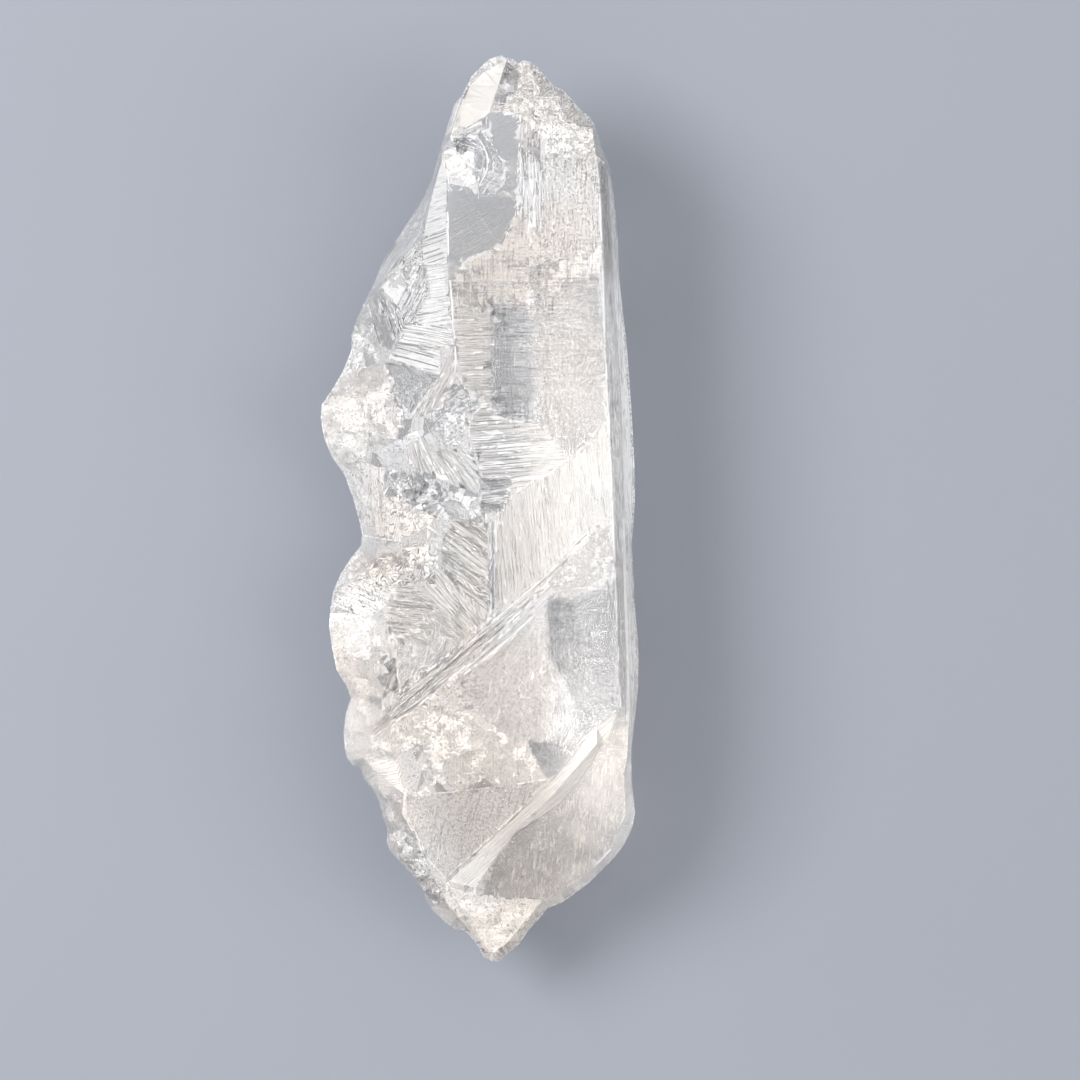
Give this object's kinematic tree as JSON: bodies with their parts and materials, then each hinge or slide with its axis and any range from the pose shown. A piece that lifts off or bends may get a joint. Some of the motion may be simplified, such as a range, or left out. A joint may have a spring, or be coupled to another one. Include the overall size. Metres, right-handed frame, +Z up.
{
  "type": "clear quartz crystal",
  "caption": "Large clear quartz crystal with a flat prism face, broken side and foot, lying on its grown back face.",
  "frame": {"origin": "centre of the bounding box in plan, at the level of the resting face", "axes": "+Y along the crystal towards its point, +Z up from the grown back face it lies on to the front face"},
  "size_m": [0.0806, 0.2298, 0.054],
  "materials": {
    "clear_quartz": "natural growth faces, finely striated, with rough and glassy breaks"
  },
  "bodies": {
    "root": {"crystal": "clear_quartz"}
  },
  "joints": []
}
